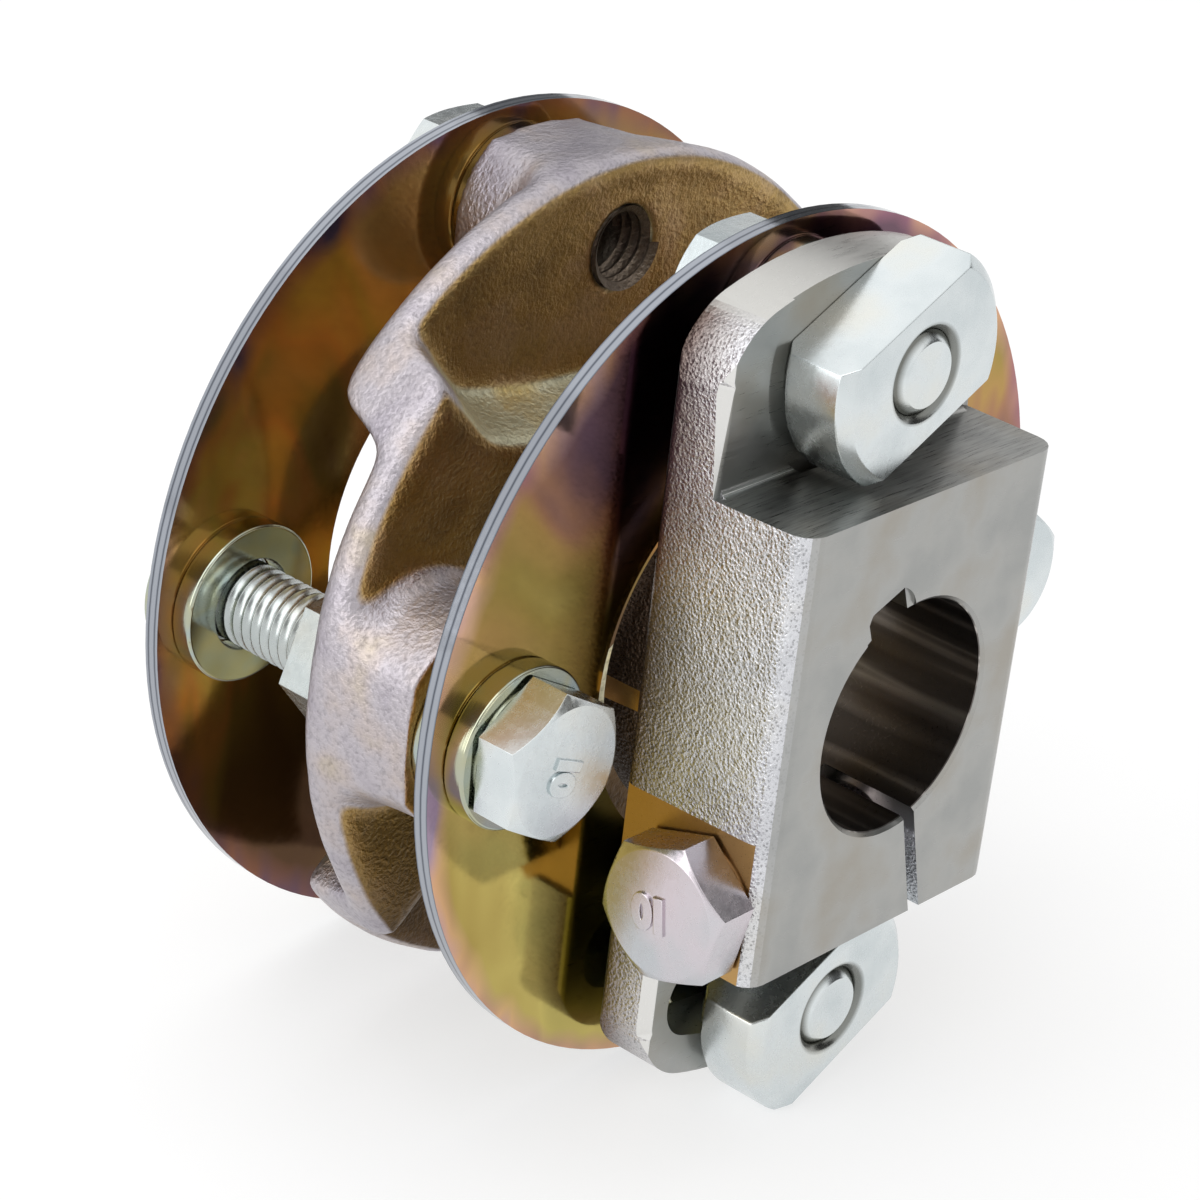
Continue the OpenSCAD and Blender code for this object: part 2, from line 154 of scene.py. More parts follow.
def distance_from_shaft(tree, place):
    """How far a place lies from the shaft's axis."""
    flat = add_node(tree, "ShaderNodeVectorMath", {0: place, 1: (1.0, 0.0, 1.0)},
                    operation="MULTIPLY")
    return add_node(tree, "ShaderNodeVectorMath", {0: flat}, operation="LENGTH")


def distance_from_ear_bolts(tree, place):
    """How far a place lies from the axis of the upper or the lower bolts, the nearer of the two."""
    mirrored = add_node(tree, "ShaderNodeVectorMath", {0: place}, operation="ABSOLUTE")
    from_bolt = add_node(tree, "ShaderNodeVectorMath", {0: mirrored, 1: (0.0, 0.0, BOLT_CIRCLE)},
                         operation="SUBTRACT")
    return distance_from_shaft(tree, from_bolt)


def facing(tree, axis, kind="True Normal"):
    """How squarely a face looks along an axis, from 0 to 1."""
    normal = add_node(tree, "ShaderNodeNewGeometry").node.outputs[kind]
    part = add_node(tree, "ShaderNodeSeparateXYZ", {0: normal}).node.outputs[axis]
    return add_node(tree, "ShaderNodeMath", {0: part}, operation="ABSOLUTE")


def blasted_and_milled_steel():
    """Cast steel hub: shot blasted sides with a sparkling grain and painted shade towards the disc,
    milled faces with faint tool marks and painted shade on the ledges, a bright ground bevel on the
    ears, and a bore painted dark for shade with painted highlights in streaks along it."""
    made, tree, place = start_material("blasted_and_milled_steel")
    radius = distance_from_shaft(tree, place)
    spot = add_node(tree, "ShaderNodeSeparateXYZ", {0: place}).node
    sideways = facing(tree, "X")
    frontways = facing(tree, "Y")
    # Which finish a face has: ground bevel, as cast, the clamp bolt's milled seat, or bore
    outside = add_node(tree, "ShaderNodeMapRange", {"Value": radius, 1: 17.5, 2: 18.5})
    turned_side = add_node(tree, "ShaderNodeMapRange", {"Value": sideways, 1: 0.42, 2: 0.62})
    ear_bevel = add_node(tree, "ShaderNodeMath", {0: frontways, 1: 0.7, 2: 0.06},
                         operation="COMPARE")
    height = add_node(tree, "ShaderNodeMath", {0: spot.outputs["Z"]}, operation="ABSOLUTE")
    beyond_ledge = add_node(tree, "ShaderNodeMath", {0: height, 1: HUB_HALF_HEIGHT + 0.3},
                            operation="GREATER_THAN")
    ground = add_node(tree, "ShaderNodeMath", {0: ear_bevel, 1: beyond_ledge},
                      operation="MULTIPLY")
    as_cast = add_node(tree, "ShaderNodeMath", {0: outside, 1: turned_side}, operation="MULTIPLY")
    squarely = add_node(tree, "ShaderNodeMath", {0: sideways, 1: 0.998}, operation="GREATER_THAN")
    at_seat = add_node(tree, "ShaderNodeMath", {0: spot.outputs["X"], 1: CLAMP_FLAT_X, 2: 0.12},
                       operation="COMPARE")
    clamp_seat = add_node(tree, "ShaderNodeMath", {0: squarely, 1: at_seat}, operation="MULTIPLY")
    smoothed = add_node(tree, "ShaderNodeMath", {0: ground, 1: clamp_seat}, operation="MAXIMUM")
    cast = add_node(tree, "ShaderNodeMath", {0: as_cast, 1: smoothed}, operation="SUBTRACT",
                    use_clamp=True)
    bored = add_node(tree, "ShaderNodeMath", {0: radius, 1: BORE_R + 0.1}, operation="LESS_THAN")
    # Shot blasting: grains of about 0.4 mm over lumps of 1.3 mm
    fine = add_node(tree, "ShaderNodeTexNoise", {"Vector": place, "Scale": 3.6, "Detail": 2.0,
                                                 "Roughness": 0.7})
    pits = add_node(tree, "ShaderNodeTexVoronoi", {"Vector": place, "Scale": 2.3,
                                                   "Randomness": 1.0})
    grit = add_node(tree, "ShaderNodeMix", {"Factor": 0.5, 2: fine, 3: pits})
    lumps = add_node(tree, "ShaderNodeTexNoise", {"Vector": place, "Scale": 0.75, "Detail": 1.0})
    patches = add_node(tree, "ShaderNodeTexNoise", {"Vector": place, "Scale": 0.08, "Detail": 4.0})
    cast_colour = add_node(tree, "ShaderNodeValToRGB", {"Fac": patches}, [
        (0.34, "#cbccd0"), (0.5, "#dddee2"), (0.68, "#dbdad8")])
    # Towards the disc the side is painted darker and browner: painted shade and painted reflection
    # near the disc
    disc_side_shade = add_node(tree, "ShaderNodeValToRGB", {"Fac": add_node(
        tree, "ShaderNodeMapRange", {"Value": spot.outputs["Y"], 1: 8.0, 2: 26.0})}, [
        (0.0, 1.0), (0.28, "#fdfcfc"), (0.48, "#dcd7d4"), (0.66, "#9c8c84"), (0.74, "#5c4c40"),
        (1.0, "#4a3e34")])
    cast_shaded = add_node(tree, "ShaderNodeMix", {"Factor": 1.0, 6: cast_colour, 7: disc_side_shade},
                            data_type="RGBA", blend_type="MULTIPLY")
    pitted = add_node(tree, "ShaderNodeValToRGB", {"Fac": grit}, [(0.3, 0.55), (0.46, 1.0)])
    cast_pitted = add_node(tree, "ShaderNodeMix", {"Factor": 1.0, 6: cast_shaded, 7: pitted},
                           data_type="RGBA", blend_type="MULTIPLY")
    # Milling: streaks of about 0.2 mm that run across the hub; on the ledges they are painted
    # darker, which is painted shade
    along = add_node(tree, "ShaderNodeMapping", {"Vector": place, "Scale": (0.22, 4.2, 4.2)})
    streaks = add_node(tree, "ShaderNodeTexNoise", {"Vector": along, "Scale": 1.0, "Detail": 3.0,
                                                    "Roughness": 0.65})
    milled = add_node(tree, "ShaderNodeValToRGB", {"Fac": patches}, [
        (0.36, "#9fa09e"), (0.5, "#a9a9a6"), (0.66, "#a39f97")])
    on_ledge = add_node(tree, "ShaderNodeMath", {0: facing(tree, "Z"), 1: beyond_ledge},
                        operation="SUBTRACT")
    ledge_shade = add_node(tree, "ShaderNodeMapRange", {"Value": on_ledge, 1: 0.5, 2: 0.9,
                                                      3: 0.97, 4: 0.7})
    lined = add_node(tree, "ShaderNodeMapRange", {"Value": streaks, 1: 0.36, 2: 0.58,
                                                  3: ledge_shade, 4: 1.0})
    milled_colour = add_node(tree, "ShaderNodeMix", {"Factor": 1.0, 6: milled, 7: lined},
                             data_type="RGBA", blend_type="MULTIPLY")
    # The ears' round ends are brighter than the other milled faces
    edgeways = add_node(tree, "ShaderNodeMath", {0: frontways, 1: 0.5}, operation="LESS_THAN")
    round_end = add_node(tree, "ShaderNodeMath", {0: edgeways, 1: beyond_ledge},
                         operation="MULTIPLY")
    milled_or_round = add_node(tree, "ShaderNodeMix", {"Factor": round_end, 6: milled_colour,
                                                       7: srgb("#cbcac6")}, data_type="RGBA")
    # Bore: painted highlights in bright streaks of about 4 mm that run along it, over a colour
    # painted dark for the bore's shade
    along_bore = add_node(tree, "ShaderNodeMapping", {"Vector": place, "Scale": (0.24, 0.012, 0.24)})
    bore_highlights = add_node(tree, "ShaderNodeTexNoise", {"Vector": along_bore, "Scale": 1.0, "Detail": 2.0})
    bore_colour = add_node(tree, "ShaderNodeValToRGB", {"Fac": bore_highlights}, [
        (0.4, "#4a4644"), (0.54, "#76716e"), (0.62, "#bdb8b3"), (0.7, "#86817d")])
    machined = add_node(tree, "ShaderNodeMix", {"Factor": bored, 6: milled_or_round,
                                                7: bore_colour}, data_type="RGBA")
    smooth_colour = add_node(tree, "ShaderNodeMix", {"Factor": clamp_seat, 6: machined,
                                                     7: srgb("#b8935e")}, data_type="RGBA")
    unground = add_node(tree, "ShaderNodeMix", {"Factor": cast, 6: smooth_colour, 7: cast_pitted},
                        data_type="RGBA")
    base = add_node(tree, "ShaderNodeMix", {"Factor": ground, 6: unground, 7: srgb("#e4e3e0")},
                    data_type="RGBA")
    cast_rough = add_node(tree, "ShaderNodeMapRange", {"Value": fine, 1: 0.35, 2: 0.65, 3: 0.42,
                                                       4: 0.22})
    smooth_rough = add_node(tree, "ShaderNodeMapRange", {"Value": streaks, 1: 0.3, 2: 0.7, 3: 0.26,
                                                         4: 0.38})
    rough = add_node(tree, "ShaderNodeMix", {"Factor": cast, 2: smooth_rough, 3: cast_rough})
    scored = add_node(tree, "ShaderNodeBump", {"Height": streaks, "Distance": 0.012 * MM,
                                               "Strength": 0.6})
    rolling = add_node(tree, "ShaderNodeBump", {"Height": lumps, "Distance": 0.12 * MM,
                                                "Strength": cast, "Normal": scored})
    blasted = add_node(tree, "ShaderNodeBump", {"Height": grit, "Distance": 0.28 * MM,
                                                "Strength": cast, "Normal": rolling})
    end_tree(tree, add_node(tree, "ShaderNodeBsdfPrincipled", {
        "Base Color": base, "Metallic": 1.0, "Roughness": rough, "Normal": blasted}))
    return made


def zinc_plate(name, shade, body, tint):
    """Zinc plating on rolled or forged steel: smooth and softly clouded in three near colours,
    with painted shade in the grooves round the ends of the ear bolts."""
    made, tree, place = start_material(name)
    cloud = add_node(tree, "ShaderNodeTexNoise", {"Vector": place, "Scale": 0.09, "Detail": 3.0})
    plated = add_node(tree, "ShaderNodeValToRGB", {"Fac": cloud}, [
        (0.32, shade), (0.5, body), (0.7, tint)])
    # Painted shade in the countersunk grooves round the ends of the ear bolts, on the front faces
    groove_shade = add_node(tree, "ShaderNodeValToRGB", {"Fac": add_node(
        tree, "ShaderNodeMapRange", {"Value": distance_from_ear_bolts(tree, place), 1: 3.5,
                                     2: 7.5})}, [
        (0.0, 0.0), (0.16, 0.0), (0.3, 0.85), (0.52, 0.75), (0.66, 0.0)])
    depth = add_node(tree, "ShaderNodeSeparateXYZ", {0: place}).node.outputs["Y"]
    at_front = add_node(tree, "ShaderNodeMath", {0: depth, 1: 5.6}, operation="LESS_THAN")
    shaded_groove = add_node(tree, "ShaderNodeMath", {0: groove_shade, 1: at_front}, operation="MULTIPLY")
    base = add_node(tree, "ShaderNodeMix", {"Factor": shaded_groove, 6: plated, 7: srgb("#57564c")},
                    data_type="RGBA")
    # Dents of about 1 mm, left by the rolling and by the wrench
    dents = add_node(tree, "ShaderNodeTexNoise", {"Vector": place, "Scale": 0.9, "Detail": 3.0,
                                                  "Roughness": 0.6})
    rough = add_node(tree, "ShaderNodeMapRange", {"Value": dents, 1: 0.3, 2: 0.7, 3: 0.22, 4: 0.3})
    pressed = add_node(tree, "ShaderNodeBump", {"Height": dents, "Distance": 0.02 * MM,
                                                "Strength": 0.6})
    end_tree(tree, add_node(tree, "ShaderNodeBsdfPrincipled", {
        "Base Color": base, "Metallic": 1.0, "Roughness": rough, "Normal": pressed}))
    return made


def turned_washer_zinc():
    """Turned washers, zinc plated: near mirror bright, a little yellow green, with lathe rings."""
    made, tree, place = start_material("turned_washer_zinc")
    cloud = add_node(tree, "ShaderNodeTexNoise", {"Vector": place, "Scale": 0.16, "Detail": 2.0})
    base = add_node(tree, "ShaderNodeValToRGB", {"Fac": cloud}, [
        (0.35, "#acb4ab"), (0.55, "#b3b49a"), (0.7, "#a8b4b1")])
    along = add_node(tree, "ShaderNodeMapping", {"Vector": place, "Scale": (0.1, 5.0, 0.1)})
    rings = add_node(tree, "ShaderNodeTexNoise", {"Vector": along, "Scale": 1.0, "Detail": 1.0})
    turned = add_node(tree, "ShaderNodeBump", {"Height": rings, "Distance": 0.01 * MM,
                                               "Strength": 0.6})
    end_tree(tree, add_node(tree, "ShaderNodeBsdfPrincipled", {
        "Base Color": base, "Metallic": 1.0, "Roughness": 0.14, "Normal": turned}))
    return made


def passivated_spring_steel(name, shift, film_share, face_stops, rim_stops):
    """Yellow zinc passivation on polished spring steel: a clear film in drifting colours over the
    metal, with painted reflection and painted shade in them, another row of colours near the rim,
    and cut edges of the leaves in lilac grey."""
    made, tree, place = start_material(name)
    radius = distance_from_shaft(tree, place)
    spot = add_node(tree, "ShaderNodeSeparateXYZ", {0: place}).node
    moved = add_node(tree, "ShaderNodeMapping", {"Vector": place, "Location": shift,
                                                 "Scale": (1.5, 1.0, 0.8)})
    cloud = add_node(tree, "ShaderNodeTexNoise", {"Vector": moved, "Scale": 0.026, "Detail": 3.0,
                                                  "Roughness": 0.5, "Distortion": 0.7})
    # Lower down the colours shift: the film's own colours, with painted reflection of the bright
    # floor on the front disc and painted shade on the rear one
    height_shift = add_node(tree, "ShaderNodeMath", {0: spot.outputs["Z"], 1: -0.005},
                       operation="MULTIPLY")
    film = add_node(tree, "ShaderNodeMath", {0: cloud, 1: height_shift}, operation="ADD")
    face = add_node(tree, "ShaderNodeValToRGB", {"Fac": film}, face_stops)
    # Near the rim the colours change along a wandering line
    flecked = add_node(tree, "ShaderNodeTexNoise", {"Vector": moved, "Scale": 0.06, "Detail": 2.0})
    wandering = add_node(tree, "ShaderNodeMath", {0: flecked, 1: 9.0, 2: radius},
                         operation="MULTIPLY_ADD")
    rimward = add_node(tree, "ShaderNodeMapRange", {"Value": wandering, 1: 53.6, 2: 57.2})
    rim_film = add_node(tree, "ShaderNodeValToRGB", {"Fac": flecked}, rim_stops)
    faces = add_node(tree, "ShaderNodeMix", {"Factor": rimward, 6: face, 7: rim_film},
                     data_type="RGBA")
    # A dark line every 1 mm across the cut edges, at every second joint between the leaves
    leaf = add_node(tree, "ShaderNodeMath", {0: spot.outputs["Y"], 1: 0.25}, operation="ADD")
    in_leaf = add_node(tree, "ShaderNodeMath", {0: leaf, 1: 0.5}, operation="PINGPONG")
    edge = add_node(tree, "ShaderNodeValToRGB", {"Fac": in_leaf}, [
        (0.0, "#45454f"), (0.1, "#80868f"), (0.25, "#a1a5ad")])
    on_face = add_node(tree, "ShaderNodeMapRange", {"Value": facing(tree, "Y"), 1: 0.5, 2: 0.6})
    base = add_node(tree, "ShaderNodeMix", {"Factor": on_face, 6: edge, 7: faces},
                    data_type="RGBA")
    fine = add_node(tree, "ShaderNodeTexNoise", {"Vector": place, "Scale": 1.1, "Detail": 2.0})
    rough = add_node(tree, "ShaderNodeMapRange", {"Value": fine, 1: 0.3, 2: 0.7, 3: 0.08, 4: 0.14})
    rolled = add_node(tree, "ShaderNodeBump", {"Height": fine, "Distance": 0.004 * MM,
                                               "Strength": 0.5})
    end_tree(tree, add_node(tree, "ShaderNodeBsdfPrincipled", {
        "Base Color": base, "Metallic": 1.0 - film_share, "Roughness": rough, "Normal": rolled}))
    return made


def passivated_casting():
    """Sand cast iron, yellow zinc passivated: dark olive brown webs, olive grey step walls, and
    lilac silver rims and bosses, all with a grain of sand, and painted shade in the tapped holes."""
    made, tree, place = start_material("passivated_casting")
    radius = distance_from_shaft(tree, place)
    spot = add_node(tree, "ShaderNodeSeparateXYZ", {0: place}).node
    sand = add_node(tree, "ShaderNodeTexNoise", {"Vector": place, "Scale": 1.5, "Detail": 3.0,
                                                 "Roughness": 0.6})
    cloud = add_node(tree, "ShaderNodeTexNoise", {"Vector": place, "Scale": 0.13, "Detail": 4.0})
    webs = add_node(tree, "ShaderNodeValToRGB", {"Fac": cloud}, [
        (0.32, "#a88d5c"), (0.5, "#bfa066"), (0.66, "#c6a87a")])
    rims = add_node(tree, "ShaderNodeValToRGB", {"Fac": cloud}, [
        (0.34, "#aba5ad"), (0.5, "#b9b3b8"), (0.62, "#bdb3b2"), (0.78, "#bcb0a0")])
    walls = add_node(tree, "ShaderNodeValToRGB", {"Fac": cloud}, [
        (0.32, "#b9b59a"), (0.5, "#cdc8ac"), (0.68, "#d0ba80")])
    inside = add_node(tree, "ShaderNodeMapRange", {"Value": radius, 1: 48.5, 2: 46.0})
    middle = add_node(tree, "ShaderNodeMath", {
        0: spot.outputs["Y"], 1: (CASTING_FRONT + CASTING_REAR) / 2,
        2: (CASTING_REAR - CASTING_FRONT) / 2 - 0.4}, operation="COMPARE")
    walled = add_node(tree, "ShaderNodeMath", {0: inside, 1: middle}, operation="MULTIPLY")
    upright = add_node(tree, "ShaderNodeMix", {"Factor": walled, 6: rims, 7: walls},
                       data_type="RGBA")
    webbed = add_node(tree, "ShaderNodeMapRange", {"Value": facing(tree, "Y", "Normal"), 1: 0.72,
                                                   2: 0.88})
    # Low down the webs are darker and greyer
    darker_low = add_node(tree, "ShaderNodeValToRGB", {"Fac": add_node(
        tree, "ShaderNodeMapRange", {"Value": spot.outputs["Z"], 1: -34.0, 2: -6.0})}, [
        (0.0, "#786f71"), (1.0, 1.0)])
    webs_darker_low = add_node(tree, "ShaderNodeMix", {"Factor": 1.0, 6: webs, 7: darker_low},
                           data_type="RGBA", blend_type="MULTIPLY")
    base = add_node(tree, "ShaderNodeMix", {"Factor": webbed, 6: upright, 7: webs_darker_low},
                    data_type="RGBA")
    # Painted shade in the tapped holes: a darker colour within the thread's crest radius
    in_hole = add_node(tree, "ShaderNodeMath", {0: distance_from_ear_bolts(tree, place),
                                                1: THREAD_CREST_R + 0.15}, operation="LESS_THAN")
    tapped = add_node(tree, "ShaderNodeMix", {"Factor": in_hole, 6: base, 7: srgb("#84776a")},
                      data_type="RGBA")
    speck = add_node(tree, "ShaderNodeValToRGB", {"Fac": sand}, [(0.3, 0.76), (0.52, 1.0)])
    dusted = add_node(tree, "ShaderNodeMix", {"Factor": 1.0, 6: tapped, 7: speck},
                      data_type="RGBA", blend_type="MULTIPLY")
    rough = add_node(tree, "ShaderNodeMapRange", {"Value": sand, 1: 0.3, 2: 0.7, 3: 0.5, 4: 0.34})
    grain = add_node(tree, "ShaderNodeBump", {"Height": sand, "Distance": 0.22 * MM,
                                              "Strength": 0.9})
    end_tree(tree, add_node(tree, "ShaderNodeBsdfPrincipled", {
        "Base Color": dusted, "Metallic": 1.0, "Roughness": rough, "Normal": grain}))
    return made


def dress(pieces, material):
    """Gives pieces one material in place of any that they have."""
    for piece in pieces:
        piece.data.materials.clear()
        piece.data.materials.append(material)


def only(piece):
    """Selects one piece alone and makes it active."""
    bpy.ops.object.select_all(action="DESELECT")
    piece.select_set(True)
    bpy.context.view_layer.objects.active = piece


def bake_place():
    """Moves the place, turn and scale of the selected piece into its mesh."""
    bpy.ops.object.transform_apply(location=True, rotation=True, scale=True)


def reshape(piece, kind, **settings):
    """Adds a modifier with its settings to the active piece and applies it."""
    made = piece.modifiers.new(kind.lower(), kind)
    for name, value in settings.items():
        setattr(made, name, value)
    bpy.ops.object.modifier_apply(modifier=made.name)


def settle(piece, name):
    """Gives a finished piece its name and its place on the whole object."""
    piece.name = name
    piece.data.name = name
    only(piece)
    bake_place()
    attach(piece, "root")


def merge_corners():
    """Merges the corners of the active piece that lie on one another."""
    bpy.ops.object.mode_set(mode="EDIT")
    bpy.ops.mesh.select_all(action="SELECT")
    bpy.ops.mesh.remove_doubles(threshold=MERGE_DISTANCE * MM)


def merged_copy(node_name):
    """A copy of a CAD node with a mesh of its own, its loose triangles joined."""
    piece = nodes[node_name].copy()
    piece.data = piece.data.copy()
    bpy.context.scene.collection.objects.link(piece)
    only(piece)
    merge_corners()
    bpy.ops.object.mode_set(mode="OBJECT")
    return piece


def start_picking(piece, kind):
    """Makes edges or corners the thing that is selected, with none selected yet."""
    only(piece)
    bpy.ops.object.mode_set(mode="EDIT")
    bpy.ops.mesh.select_mode(type=kind)
    bpy.ops.mesh.select_all(action="DESELECT")
    bpy.ops.object.mode_set(mode="OBJECT")


def pick(piece, kind, test):
    """Selects the edges or the corners of a piece whose every end passes a test of its place."""
    start_picking(piece, kind)
    mesh = piece.data
    good = [test(*(c / MM for c in v.co)) for v in mesh.vertices]
    if kind == "EDGE":
        for edge in mesh.edges:
            edge.select = all(good[i] for i in edge.vertices)
    else:
        for v, chosen in zip(mesh.vertices, good):
            v.select = chosen
    bpy.ops.object.mode_set(mode="EDIT")


def join_flats():
    """Joins the coplanar triangles of the active piece into whole faces."""
    bpy.ops.object.mode_set(mode="EDIT")
    bpy.ops.mesh.select_all(action="SELECT")
    bpy.ops.mesh.dissolve_limited(angle_limit=math.radians(0.5))
    bpy.ops.object.mode_set(mode="OBJECT")


def round_edges(piece, width):
    """Rounds every edge sharper than 28 degrees to a width in millimetres."""
    only(piece)
    join_flats()
    reshape(piece, "BEVEL", width=width * MM, segments=2, limit_method="ANGLE",
            angle_limit=math.radians(28))


def even_shading(piece):
    """Shades wide faces flat and the narrow roundings between them smooth."""
    only(piece)
    bpy.ops.object.shade_smooth_by_angle(angle=math.radians(50))
    reshape(piece, "WEIGHTED_NORMAL", weight=100, keep_sharp=True)


def fine_edged(node_name, width, ground_edge=None):
    """A solid with the small rounding that its real edges have, so that they catch the light."""
    piece = merged_copy(node_name)
    if ground_edge:
        join_flats()
        pick(piece, "EDGE", ground_edge)
        bpy.ops.mesh.bevel(offset=GROUND_BEVEL * MM, segments=1, affect="EDGES")
        bpy.ops.object.mode_set(mode="OBJECT")
    round_edges(piece, width)
    even_shading(piece)
    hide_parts(node_name)
    settle(piece, "edged_" + node_name)
    return piece


def on_ear_edge(x, y, z):
    """The ears' upright front edges, ground off by hand, as far as the solid leaves them sharp."""
    return (abs(x) > HUB_HALF_WIDTH - 0.5 and abs(y - EAR_FRONT) < 0.2
            and HUB_HALF_HEIGHT - 0.1 < abs(z) < SOLID_BEVEL_START + 1.5)


def weigh(piece, name, share):
    """A vertex group in which each corner's weight comes from its place in millimetres."""
    group = piece.vertex_groups.new(name=name)
    for v in piece.data.vertices:
        group.add([v.index], share(*(c / MM for c in v.co)), "REPLACE")


def rough_cast_share(x, y, z):
    """How much of the sand's unevenness a place has: little at the machined holes and bosses."""
    at_bolt = min(math.hypot(x - a, z - b) for a, b in (
        (BOLT_CIRCLE, 0), (-BOLT_CIRCLE, 0), (0, BOLT_CIRCLE), (0, -BOLT_CIRCLE)))
    machined = at_bolt < 6.0 or (at_bolt < BOSS_R + 1 and (
        y < BOSS_FRONT + 0.7 or y > BOSS_REAR - 0.7))
    return 0.1 if machined else 1.0


def step_share(x, y, z):
    """How much a place belongs to the step walls, which lie on the diagonals."""
    out = math.hypot(x, z)
    leaning = min(abs(x), abs(z)) / max(out, 1.0)
    return max(0.0, min(1.0, (leaning - 0.3) / 0.2)) * max(0.0, min(1.0, (out - 26.0) / 4.0))


def soften_casting():
    """The centre casting with the soft edges and fillets of sand casting, machined places kept."""
    piece = merged_copy("centre_casting")
    reshape(piece, "REMESH", mode="VOXEL", voxel_size=CASTING_VOXEL * MM)
    weigh(piece, "cast", rough_cast_share)
    uneven = bpy.data.textures.new("uneven_sand", "CLOUDS")
    uneven.noise_scale = 5.0 * MM
    reshape(piece, "DISPLACE", texture=uneven, texture_coords="LOCAL", strength=0.5 * MM,
            mid_level=0.75, vertex_group="cast")
    reshape(piece, "SMOOTH", factor=0.5, iterations=20, vertex_group="cast")
    weigh(piece, "steps", step_share)
    reshape(piece, "SMOOTH", factor=0.5, iterations=40, vertex_group="steps")
    bpy.ops.object.shade_smooth()
    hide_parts("centre_casting")
    settle(piece, "soft_centre_casting")
    return piece


def profile_order(mesh):
    """The plane's four corners, in the order in which its outline runs round."""
    nearby = {v.index: [] for v in mesh.vertices}
    for edge in mesh.edges:
        a, b = edge.vertices
        nearby[a].append(b)
        nearby[b].append(a)
    order = [0, nearby[0][0]]
    while len(order) < 4:
        order.append(next(n for n in nearby[order[-1]] if n not in order))
    return order


def helix(name, base_r, crest_r, turns, flat):
    """A screw thread along +Y from 0, its profile from base_r to a flat at crest_r and back."""
    bpy.ops.object.select_all(action="DESELECT")
    bpy.ops.mesh.primitive_plane_add(size=1.0)
    piece = bpy.context.object
    piece.name = name
    bpy.ops.object.mode_set(mode="EDIT")
    bpy.ops.mesh.delete(type="ONLY_FACE")
    bpy.ops.object.mode_set(mode="OBJECT")
    corners = [(base_r, 0.0), (crest_r, (THREAD_PITCH - flat) / 2),
               (crest_r, (THREAD_PITCH + flat) / 2), (base_r, THREAD_PITCH)]
    order = profile_order(piece.data)
    for index, (r, along) in zip(order, corners):
        piece.data.vertices[index].co = (r * MM, along * MM, 0.0)
    # The outline's fourth edge goes, so that the profile is open at its base
    start_picking(piece, "EDGE")
    ends = {order[0], order[3]}
    for edge in piece.data.edges:
        edge.select = set(edge.vertices) == ends
    bpy.ops.object.mode_set(mode="EDIT")
    bpy.ops.mesh.delete(type="EDGE")
    bpy.ops.object.mode_set(mode="OBJECT")
    reshape(piece, "SCREW", axis="Y", screw_offset=THREAD_PITCH * MM, iterations=turns, steps=36,
            render_steps=36, use_merge_vertices=False)
    merge_corners()
    bpy.ops.mesh.normals_make_consistent(inside=False)
    bpy.ops.object.mode_set(mode="OBJECT")
    return piece


def trim_along(piece, start, end):
    """Cuts off what lies before and behind two places along Y, and leaves the cuts open."""
    only(piece)
    bpy.ops.object.mode_set(mode="EDIT")
    for at, way in ((start, -1), (end, 1)):
        bpy.ops.mesh.select_all(action="SELECT")
        bpy.ops.mesh.bisect(plane_co=(0, at * MM, 0), plane_no=(0, way, 0), use_fill=False,
                            clear_outer=True)
    bpy.ops.object.mode_set(mode="OBJECT")


def core_pin(x, radius, start, end, chamfer):
    """A plain pin along Y with chamfered ends, to close a thread from inside."""
    bpy.ops.object.select_all(action="DESELECT")
    bpy.ops.mesh.primitive_cylinder_add(vertices=36, radius=radius * MM,
                                        depth=(end - start) * MM,
                                        location=(x * MM, (start + end) / 2 * MM, 0),
                                        rotation=(math.pi / 2, 0, 0))
    piece = bpy.context.object
    bake_place()
    reshape(piece, "BEVEL", width=chamfer * MM, segments=2)
    return piece


def threaded_bolt(node_name, across):
    """A loose flange bolt: the head as the solid has it, and a cut thread in place of its shank."""
    head = merged_copy(node_name)
    low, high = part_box(node_name)
    under_head = low[1] / MM + HEAD_HEIGHT
    end = high[1] / MM
    pick(head, "VERT", lambda x, y, z: y > under_head + 0.2)
    bpy.ops.mesh.delete(type="VERT")
    bpy.ops.object.mode_set(mode="OBJECT")
    round_edges(head, EDGE_ROUNDING)
    turns = int((end - under_head) / THREAD_PITCH)
    thread = helix(node_name + "_thread", THREAD_ROOT_R, THREAD_CREST_R - 0.02, turns, 0.2)
    thread.location = (across * MM, (under_head - 0.3) * MM, 0)
    only(thread)
    bake_place()
    trim_along(thread, under_head - 0.1, end - THREAD_END_CHAMFER)
    core = core_pin(across, THREAD_ROOT_R + 0.15, under_head - 0.6, end - 0.02,
                    THREAD_END_CHAMFER)
    collar = core_pin(across, THREAD_CREST_R + 0.05, under_head - 0.9, under_head, 0.1)
    bpy.ops.object.select_all(action="DESELECT")
    for part in (head, thread, core, collar):
        part.select_set(True)
    bpy.context.view_layer.objects.active = head
    bpy.ops.object.join()
    even_shading(head)
    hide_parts(node_name)
    settle(head, node_name + "_cut")
    return head


def tapped_hole(name, z):
    """The thread crests that show inside an empty tapped hole of the casting."""
    thread = helix(name, THREAD_CREST_R + 0.1, THREAD_ROOT_R, 4, 0.25)
    thread.location = (0, (CASTING_FRONT + HOLE_THREAD_SET_BACK) * MM, z * MM)
    settle(thread, name)
    bpy.ops.object.shade_smooth_by_angle(angle=math.radians(32))
    return thread


